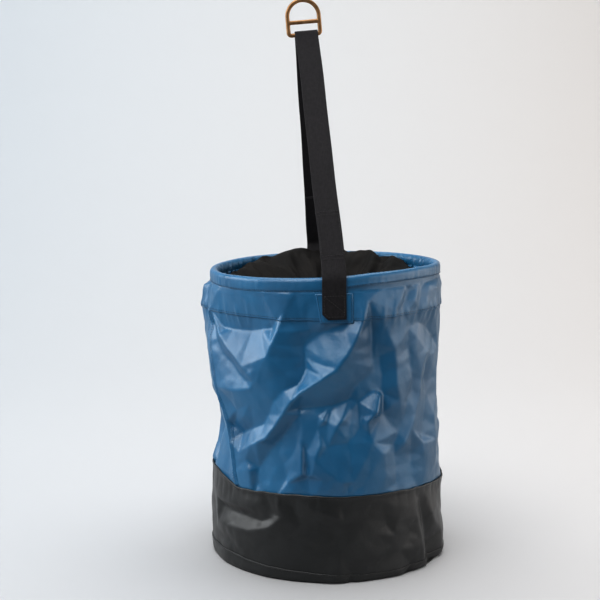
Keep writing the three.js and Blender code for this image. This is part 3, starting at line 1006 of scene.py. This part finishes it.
def smooth_points(points, count):
    """A smooth curve through the given points, with as many new points in every gap."""
    points = np.array(points, float)
    tangents = np.gradient(points, axis=0)
    steps = np.linspace(0, len(points) - 1.0001, count)
    i = steps.astype(int)
    t = (steps - i)[:, None]
    a, b, ta, tb = points[i], points[i + 1], tangents[i], tangents[i + 1]
    return ((2 * t**3 - 3 * t**2 + 1) * a + (t**3 - 2 * t**2 + t) * ta
            + (3 * t**2 - 2 * t**3) * b + (t**3 - t**2) * tb)


def pucker(angle):
    """How much the casing gathers, round the bag: most at the left, the right and the rear."""
    return np.interp(angle, [-180, -100, -70, -45, -15, 15, 35, 60, 90, 180],
                     [0.9, 1.0, 1.0, 0.45, 0.25, 0.3, 0.7, 0.6, 0.9, 0.9])


# How far the casing's outer edge is drawn up.
CASING_LIFT = [(-180, 1.5), (-80, 0.5), (-55, 0), (-4, 0.5), (7, 4.2), (30, 3.6), (50, 3.2),
               (85, 2.4), (130, 1.5), (180, 1.5)]
# How far the whole casing rides up where the strap pulls on it.
CASING_RISE = [(-180, 0), (-60, 0), (-20, 1.5), (0, 2.2), (9, 3.2), (18, 4.8), (48, 5.0),
               (65, 3.2), (88, 0.6), (112, 0), (180, 0)]
# How far the casing's outer edge stands off the hem.
CASING_GAP = [(-180, 0.2), (-5, 0), (7, 1.6), (24, 1.5), (36, 0.4), (60, 0.3), (180, 0.2)]


def casing_ripple(angle):
    return waves(angle, (47, 61, 78, 96, 113), 3) * pucker(angle)


def casing_edge(angle, _):
    """How far out the casing's outer edge is, where its stitches run, whatever the height."""
    return CASING_EDGE + 0.6 * look_up(CASING_GAP, angle) + 0.25 * casing_ripple(angle)


def add_casing():
    """The hoop's casing: it ripples more inside than outside, and its lower edge is drawn up."""
    shape = smooth_points(CASING_SHAPE, 31)
    swing = shape[:, 2]
    ripple = casing_ripple(wall_angles)
    slow = waves(wall_angles, (3, 5, 8, 13), 4)
    away = np.clip((shape[:, 0] - HOOP_MIDDLE) / 4, -1, 1)
    share = np.linspace(0, 1, 31)[:, None]
    slant = np.roll(ripple, 2)[None, :] * share + ripple[None, :] * (1 - share)
    edge = np.clip(1 - share * 5, 0, 1)
    drawn_up = np.interp(share, [0.6, 1], [1, 0.3])
    radius = shape[:, None, 0] + (away * swing)[:, None] * (0.7 * slant - 0.25)
    radius = radius + edge * look_up(CASING_GAP, wall_angles)
    height = shape[:, None, 1] + swing[:, None] * (0.35 * slow + 0.28 * slant - 0.2)
    height = height + edge * look_up(CASING_LIFT, wall_angles)
    height = height + drawn_up * look_up(CASING_RISE, wall_angles)
    grid = place_on_bag(wall_angles[None, :] + 0 * radius, radius, height)
    casing = add_cloth("casing_cloth", grid, blue_cloth, "rim_casing", "rim")
    line = CASING_STITCHES + 0.85 * look_up(CASING_LIFT, ROUND) + look_up(CASING_RISE, ROUND)
    stitch_round("casing_stitches", line, casing_edge, 0.4, blue_thread, "rim")
    return casing


def add_facing():
    """The band inside the rim, drawn up into ruffles under the casing."""
    heights = np.linspace(FACING_BOTTOM, CASING_BOTTOM + 3, 16)
    height, angle = np.meshgrid(heights, wall_angles, indexing="ij")
    ruffle = waves(angle, (44, 59, 73, 88), 8) * (1 - near_strap(angle, 9))
    radius = FACING_RADIUS + 3.2 * ruffle * np.interp(height, [345, 364, 374], [0.7, 1, 0.35])
    grid = place_on_bag(angle, radius, height)
    return add_cloth("facing_cloth", grid, blue_cloth, "hem_facing", "rim")


# The sleeve's ridge: its height at each angle, where it stands up out of the mouth.
SLEEVE_RIDGE = [(-180, 391), (-165, 392), (-154, 390), (-142, 386), (-125, 378), (-108, 371),
                (-90, 366), (-60, 363), (-30, 368), (0, 372), (30, 370), (60, 364), (90, 366),
                (105, 371), (122, 379), (140, 386), (150, 388), (165, 391), (180, 391)]
# The sleeve's fall from its outer edge over the ridge and in: radius and height under the ridge.
SLEEVE_FALL = [(SLEEVE_EDGE, -22), (138.6, -8), (136.0, -1.5), (131.0, 0), (121.0, -3), (106.0, -9),
               (88.0, -18), (70.0, -28), (55.0, -38)]
# The sleeve's folds: lines of angle, place on its fall from 0 to 60, and depth.
SLEEVE_FOLDS = [
    [(-170, 18, 4), (-160, 30, 6), (-148, 42, 2)],
    [(-150, 22, -3), (-142, 36, -5)],
    [(-128, 20, 3), (-140, 40, 5), (-150, 52, 3)],
    [(150, 14, 5), (143, 26, 6), (134, 42, 3)],
    [(143, 16, -4), (137, 28, -6), (128, 42, -4)],
    [(132, 14, 4), (126, 26, 6), (118, 40, 5)],
    [(112, 20, -3), (106, 36, -4)],
    [(98, 18, 3), (95, 38, 4)],
    [(165, 26, -3), (170, 44, -5)],
]


def net_grid(lines, angles, heights, spacing, depth, seed):
    """A crumpled net on any grid: fold lines, with jittered points between them."""
    points, pairs = spread(lines, 9)
    low, high = heights[0] - 4, heights[-1] + 4
    filler = scattered(points, spacing, 0.55 * spacing, depth, low, high, seed)
    return blurred(net_field(points + filler, pairs, angles, heights), 0.7, 0.7)


def add_sleeve():
    """Soft black nylon, drawn in and crumpled, filling the rim of the mouth."""
    rows, columns = 46, 420
    angles = np.arange(columns) * 360 / columns - 180
    fall = smooth_points(SLEEVE_FALL, rows)
    share = np.linspace(0, 1, rows)
    crumple = net_grid(SLEEVE_FOLDS, angles, share * 60, 17, 5.5, 21)
    fine = net_grid([], angles, share * 60, 9, 1.6, 22)
    push = (crumple + fine) * np.interp(share, [0, 0.12, 0.3, 1], [0.0, 0.25, 1, 1])[:, None]
    radius = fall[:, None, 0] - 0.55 * push.clip(-4, 4) * (1 - 0.8 * near_strap(angles, 12))
    radius = np.minimum(radius, SLEEVE_EDGE - 3.4 * near_strap(angles, 9)[None, :])
    height = look_up(SLEEVE_RIDGE, angles)[None, :] + fall[:, None, 1] + push
    grid = place_on_bag(angles[None, :] + 0 * radius, radius, height)
    return add_cloth("closure_sleeve_cloth", grid, nylon, "closure_sleeve", "rim")


# ---- Base pieces ---------------------------------------------------------------------------


def base_rows(low, high, rows, outwards):
    """A grid of points from a level line up to a wavy edge."""
    height = low + (high - low)[None, :] * np.linspace(0, 1, rows)[:, None]
    angle = wall_angles[None, :] + 0 * height
    return place_on_bag(angle, outwards(angle, height), height)


def add_base_band():
    """The base's wall, with a small roll along its top edge."""
    top = look_up(BAND_EDGE, wall_angles) + 0.4 * waves(wall_angles, (17, 29, 41), 41)
    grid = base_rows(4.0, top, 62, base_out)
    roll = 0.7 * np.exp(-((np.linspace(0, 1, 62) - 0.985) / 0.02) ** 2)[:, None, None]
    grid = grid + grid_normals(grid, True) * roll * MM
    band = add_cloth("base_band_cloth", grid, black_cloth, "base_wall", "base")
    edge = look_up(BAND_EDGE, ROUND) - 3.0
    stitch_round("base_band_stitches", edge, base_out, 0.3, black_thread, "base")
    return band


def add_binding():
    top = look_up(BINDING_TOP, wall_angles) + 0.3 * waves(wall_angles, (13, 31, 47), 42)
    binding = add_cloth("binding_cloth", base_rows(1.3, top, 13, binding_out), black_cloth,
                        "base_binding", "base", thickness=THIN_FABRIC)
    edge = look_up(BINDING_TOP, ROUND) - 1.8
    stitch_round("binding_stitches", edge, binding_out, 0.1, black_thread, "base")
    return binding


def add_bottom():
    """The round bottom panel, not quite flat where nothing presses on it."""
    radii = np.concatenate([[154.0, 153.2], np.linspace(150, 4, 38)])
    radius, angle = np.meshgrid(radii, wall_angles, indexing="ij")
    lift = 0.25 * (waves(angle, (2, 3, 5), 51) * np.sin(radius / 23) + 1)
    grid = place_on_bag(angle, radius, 1.2 + lift.clip(0, 0.4))
    return add_cloth("bottom_cloth", grid, black_cloth, "base_panel", "base", hub=True)


# ---- Strap ---------------------------------------------------------------------------------

LEAN = math.radians(STRAP_LEAN)


def place_on_strap(across, y, height):
    """Points in metres, from distances on the leaning strap: height is above the floor."""
    rise = height - HINGE_HEIGHT
    x = SETTLE_SHIFT + across * math.cos(LEAN) + rise * math.sin(LEAN)
    return np.stack([x, y, HINGE_HEIGHT - across * math.sin(LEAN) + rise * math.cos(LEAN)], -1) * MM


def place_on_rim(across, y, height):
    """Points in metres for the same strap where it lies round the rim."""
    share = (height - BASE_TOP) / (RIM_TOP - BASE_TOP)
    bent = np.sign(y) * np.sqrt(np.maximum(y**2 - across**2, 1))
    rise = math.tan(math.radians(SETTLE_TILT))
    return np.stack([across + SETTLE_SHIFT * share, bent, height + rise * across * share], -1) * MM


def place_webbing(across, y, height):
    """Round the rim below, on the leaning strap above, and easing between them."""
    share = np.clip((height - 376) / 44, 0, 1)
    share = (share * share * (3 - 2 * share))[..., None]
    low, high = place_on_rim(across, y, height), place_on_strap(across, y, height)
    return low * (1 - share) + high * share


def evenly(points, step):
    """The same line with points an even distance apart."""
    points = np.array(points, float)
    run = run_along(points)
    marks = np.linspace(0, run[-1], max(2, round(run[-1] / step)) + 1)
    return np.stack([np.interp(marks, run, points[:, k]) for k in (0, 1)], -1), marks


def webbing_section():
    """Once round the webbing's section: across and outwards, with rounded selvedges."""
    half, thick = WEBBING_WIDTH / 2 - SELVEDGE, WEBBING / 2
    turns = np.radians([60, 25, -25, -60])
    edge = [(half + SELVEDGE * math.cos(t), (thick + 0.15) * math.sin(t)) for t in turns]
    side = [(s, thick) for s in np.linspace(-half, half, 11)] + edge
    return np.array(side + [(-s, -n) for s, n in side])


def webbing_ribbon(name, path, clipped=0.0):
    """Webbing along a path in the plane through the front and rear: y and height. Its start has
    one corner clipped off, where a size is given for it."""
    line, marks = evenly(path, 2.6)
    tangent = unit(np.gradient(line, axis=0))
    normal = np.stack([-tangent[:, 1], tangent[:, 0]], -1)
    section = webbing_section()
    drift = 0.35 * np.sin(marks / 41) + 0.2 * np.sin(marks / 17 + 1)
    ripple = 0.22 * np.sin(marks / 29 + 2)
    free = np.clip((line[:, 1] - 400) / 30, 0, 1)
    across = section[None, :, 0] + (drift * free)[:, None]
    outward = section[None, :, 1] + (ripple * free)[:, None]
    y = line[:, None, 0] + normal[:, None, 0] * outward
    height = line[:, None, 1] + normal[:, None, 1] * outward
    if clipped:
        corner = np.clip((-section[None, :, 0] - WEBBING_WIDTH / 2 + clipped) / clipped, 0, 1)
        near_end = np.clip(1 - marks / (1.6 * clipped), 0, 1)[:, None]
        height = height + corner * near_end * clipped
    ribbon = swept(name, place_webbing(across, y, height), webbing)
    lay_out_ribs(ribbon, section[:, 0] / WEBBING_WIDTH + 0.5, marks / WEBBING_WIDTH)
    return ribbon


def lay_out_ribs(ribbon, across, along):
    """UVs for the ribs, in ribbon widths, from each place across and along the ribbon."""
    uv = ribbon.data.uv_layers.new(name="webbing")
    corners = np.zeros(len(ribbon.data.loops), int)
    ribbon.data.loops.foreach_get("vertex_index", corners)
    places = np.stack([np.tile(across, len(along)), np.repeat(along, len(across))], -1)
    uv.data.foreach_set("uv", places[corners].ravel())


def leg_turn():
    """The front leg's slope, and its tangent to the wrap round the ring's lower bar."""
    wrap = RING_BAR / 2 + 0.6 + WEBBING / 2
    reach = (LEG_Y, STRAP_RISE + WEBBING_WIDTH / 2)
    return wrap, math.atan2(reach[1], reach[0]) + math.asin(wrap / math.hypot(*reach))


LEG_Y = RIM_RADIUS + 0.3 + WEBBING / 2
LEG_FOOT = HINGE_HEIGHT - WEBBING_WIDTH / 2


def leg_y(height, inwards=0.0):
    """How far the leg's middle line is from the bag's axis at a height."""
    _, turn = leg_turn()
    return LEG_Y - inwards / math.sin(turn) - (height - LEG_FOOT) / math.tan(turn)


def tab_path(sign):
    """Down the outside of the rim, over the patch and the hem: y and height."""
    over = PATCH_STEP + 0.35 + WEBBING / 2
    points = []
    for height in (338, 350, 360, 368):
        angle = np.array([0.0 if sign < 0 else 180.0])
        points.append((sign * (hem_out(angle, np.array([max(height, 339)]))[0] + over), height))
    return points + [(sign * (LEG_Y - 0.25), 375), (sign * LEG_Y, 381), (sign * LEG_Y, 388)]


def strap_path():
    """From the front tab, up, round the ring's bar, and down to the rear tab."""
    wrap, turn = leg_turn()
    start = turn + math.pi / 2
    over = [(wrap * math.cos(t), HINGE_HEIGHT + STRAP_RISE + wrap * math.sin(t))
            for t in np.linspace(start, math.pi - start, 15)]
    front = tab_path(-1) + [(-leg_y(h), h) for h in (394.0, 400, 410, 500)]
    rear = [(leg_y(h), h) for h in (500.0, 410, 400, 394)] + tab_path(1)[::-1]
    return front + over + rear


def inner_path(sign):
    """The second layer: up the inside of the rim, then along the leg's inner face."""
    inside = RIM_RADIUS - CASING_WIDTH - 0.9 - WEBBING / 2
    points = [(inside - 0.6, 340.0), (inside - 0.6, 370), (inside, 381), (inside + 1.2, 388),
              (inside + 4.4, 394)]
    points += [(leg_y(h, WEBBING + 0.15), h) for h in (400.5, 408, 440, RIM_TOP + 82)]
    return [(sign * y, h) for y, h in smooth_points(points, 60)]


def add_strap():
    """One outer layer from tab to tab through the ring, and an inner layer at each leg."""
    strap = webbing_ribbon("strap_ribbon", strap_path(), 7.0)
    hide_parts("strap_webbing", "front_outer_tab", "rear_outer_tab")
    join_at_hinge(strap)
    for side, sign in (("front", -1), ("rear", 1)):
        layer = webbing_ribbon(side + "_inner_ribbon", inner_path(sign))
        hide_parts(side + "_inner_tab", side + "_doubler")
        join_at_hinge(layer)
        add_tab_stitches(side, sign)
        add_leg_stitches(side, sign)


def join_at_hinge(piece):
    """Bakes the piece's placement into its mesh; the webbing's bend between the rim and the strap
    is already in its shape.
    """
    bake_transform(piece)


def webbing_row(path, outwards):
    """Stitches on webbing: a run of (across, y, height) points and which way is out."""
    line = place_webbing(*np.array(path, float).T)
    return line, np.repeat(np.array([outwards]), len(line), 0)


STITCH_INSET = WEBBING_WIDTH / 2 - 2.5
STITCH_LIE = WEBBING / 2 + 0.1
BOX_LOW, BOX_HIGH = 341.5, 367.5


def add_tab_stitches(side, sign):
    """A box with a clipped corner, and one diagonal across it."""
    path = [(height, y) for y, height in tab_path(sign)]

    def on_tab(across, height):
        return across, look_up(path, height) + sign * STITCH_LIE, height

    inset = STITCH_INSET
    corners = [(-inset + 5, BOX_LOW), (inset, BOX_LOW), (inset, BOX_HIGH), (-inset, BOX_HIGH),
               (-inset, BOX_LOW + 5), (-inset + 5, BOX_LOW)]
    steps = np.linspace(0, 1, 9)
    box = [on_tab(a + (c - a) * t, b + (d - b) * t)
           for (a, b), (c, d) in zip(corners, corners[1:]) for t in steps]
    cross = [on_tab(-inset + 2 * inset * t, BOX_HIGH - 21 * t) for t in steps]
    rows = [webbing_row(path, (0.0, float(sign), 0.0)) for path in (box, cross)]
    add_stitches(side + "_tab_stitches", rows, black_thread, "rim")


def add_leg_stitches(side, sign):
    """Two pairs of rows across the leg, and one down each edge between them."""
    _, turn = leg_turn()

    def on_leg(across, height):
        return across, sign * (leg_y(height) + STITCH_LIE / math.sin(turn)), height

    width = STITCH_INSET + 1
    paths = [[on_leg(across, height) for across in np.linspace(-width, width, 9)]
             for height in (468.5, 464.5, 416.0, 412.0)]
    paths += [[on_leg(across, height) for height in np.linspace(417, 463, 12)]
              for across in (-STITCH_INSET - 0.6, STITCH_INSET + 0.6)]
    out = (0.0, sign * math.sin(turn), math.cos(turn))
    rows = [webbing_row(path, out) for path in paths]
    join_at_hinge(add_stitches(side + "_leg_stitches", rows, black_thread, None))


# ---- Patches -------------------------------------------------------------------------------


def add_patch(side, middle):
    """A second layer of coated fabric under the webbing, sewn round its edge."""
    across = np.linspace(-PATCH_HALF, PATCH_HALF, 33)
    height, x = np.meshgrid(np.linspace(PATCH_LOW, PATCH_HIGH, 27), across, indexing="ij")
    x = x + np.where(x < 0, PATCH_SLANT * (370 - height) / 37 * (-x / PATCH_HALF), 0)
    angle = middle + x / DEGREE
    grid = place_on_bag(angle, hem_out(angle, height) + PATCH_STEP, height)
    patch = add_cloth(side + "_patch_cloth", grid, blue_cloth, side + "_patch", "rim", wrap=False,
                      thickness=THIN_FABRIC)
    wide, low, high = PATCH_HALF - 2, PATCH_LOW + 2, PATCH_HIGH - 2
    corners = [(PATCH_SLANT - wide, low), (wide, low), (wide, high), (-wide, high),
               (PATCH_SLANT - wide, low)]
    ends = list(zip(corners, corners[1:]))
    angles = np.concatenate([np.linspace(a, c, 12) for (a, _), (c, _) in ends])
    levels = np.concatenate([np.linspace(b, d, 12) for (_, b), (_, d) in ends])
    row = stitch_line(middle + angles / DEGREE, levels, hem_out, PATCH_STEP)
    add_stitches(side + "_patch_stitches", [row], blue_thread, "rim")
    return patch


# ---- Ring ----------------------------------------------------------------------------------


def tube(name, points, radius, closed):
    """A round bar along a flat path in the strap's plane, across and up."""
    points = np.array(points, float)
    if closed:
        tangent = unit(np.roll(points, -1, 0) - np.roll(points, 1, 0))
    else:
        tangent = unit(np.gradient(points, axis=0))
    normal = np.stack([tangent[:, 1], -tangent[:, 0]], -1)
    turns = np.linspace(0, 2 * math.pi, 24, endpoint=False)
    squarish = (np.abs(np.cos(turns)) ** 3.2 + np.abs(np.sin(turns)) ** 3.2) ** (-1 / 3.2)
    out, deep = squarish * np.cos(turns) * radius, squarish * np.sin(turns) * radius
    across = points[:, None, 0] + normal[:, None, 0] * out
    up = points[:, None, 1] + normal[:, None, 1] * out
    rings = place_on_strap(across, deep[None, :] + 0 * across, up)
    return swept(name, rings, bronze, closed)


def ring_outline(half, corner):
    """Round the ring's bar from its lower left: across, and up from the lower bar."""
    quarter = np.linspace(0, math.pi / 2, 9)
    side = np.linspace(corner, RING_ARCH, 12)[1:-1]
    points = [(x, 0.0) for x in np.linspace(-half + corner, half - corner, 16)]
    points += [(half - corner + corner * math.sin(t), corner - corner * math.cos(t))
               for t in quarter[1:]]
    points += [(half, h) for h in side]
    points += [(half * math.cos(t), RING_ARCH + half * math.sin(t))
               for t in np.linspace(0, math.pi, 40)]
    points += [(-half, h) for h in side[::-1]]
    points += [(-half + corner - corner * math.cos(t), corner - corner * math.sin(t))
               for t in quarter[:-1]]
    return points


def cast_in_one(body, part):
    """Joins two solids into one skin, softened where they meet as a casting is."""
    with bpy.context.temp_override(active_object=body, selected_editable_objects=[body, part]):
        bpy.ops.object.join()
    remesh = body.modifiers.new("cast", "REMESH")
    remesh.mode = "VOXEL"
    remesh.voxel_size = 0.42 * MM
    remesh.use_smooth_shade = True
    body.modifiers.new("soften", "SMOOTH").iterations = 6
    depsgraph = bpy.context.evaluated_depsgraph_get()
    cast = bpy.data.meshes.new_from_object(body.evaluated_get(depsgraph))
    body.modifiers.clear()
    body.data = cast
    cast.materials.clear()
    cast.materials.append(bronze)


def add_ring():
    """The D-ring: an arch on two bars with a slot between them, cast in one."""
    foot = HINGE_HEIGHT + STRAP_RISE
    half = (RING_WIDTH - RING_BAR) / 2
    radius = RING_BAR / 2 - 0.15
    outline = [(x + RING_SHIFT, foot + h) for x, h in ring_outline(half, RING_CORNER)]
    loop = tube("d_ring_cast", outline, radius, True)
    bar = [(x + RING_SHIFT, foot + RING_SLOT) for x in np.linspace(-half, half, 20)]
    cast_in_one(loop, tube("d_ring_bar", bar, radius, False))
    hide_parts("d_ring")
    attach(loop, "ring")


def crumple_with_rim(*pieces):
    """Gives each of the wall's pieces a mesh of its own."""
    for piece in pieces:
        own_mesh(piece)


def finish_kept_nodes():
    """The stiff parts that keep their own shape: the hoop, its ferrule and the base board."""
    for node, material in (("rim_hoop", steel), ("hoop_ferrule", steel), ("base_board", board)):
        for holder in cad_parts[node].material_slots:
            holder.material = material


# ---- The bag -------------------------------------------------------------------------------

add_camera()
add_lights(add_floor())
wall_piece = add_wall()
seam_pieces = add_side_seam()
hem_piece = add_hem()
casing_piece = add_casing()
facing_piece = add_facing()
sleeve_piece = add_sleeve()
band_piece = add_base_band()
binding_piece = add_binding()
bottom_piece = add_bottom()
patch_pieces = [add_patch("front", 0), add_patch("rear", 180)]
add_strap()
add_ring()
finish_kept_nodes()
crumple_with_rim(wall_piece, *seam_pieces)
bpy.context.scene.view_settings.view_transform = "Standard"
bpy.context.scene.view_settings.gamma = 0.82
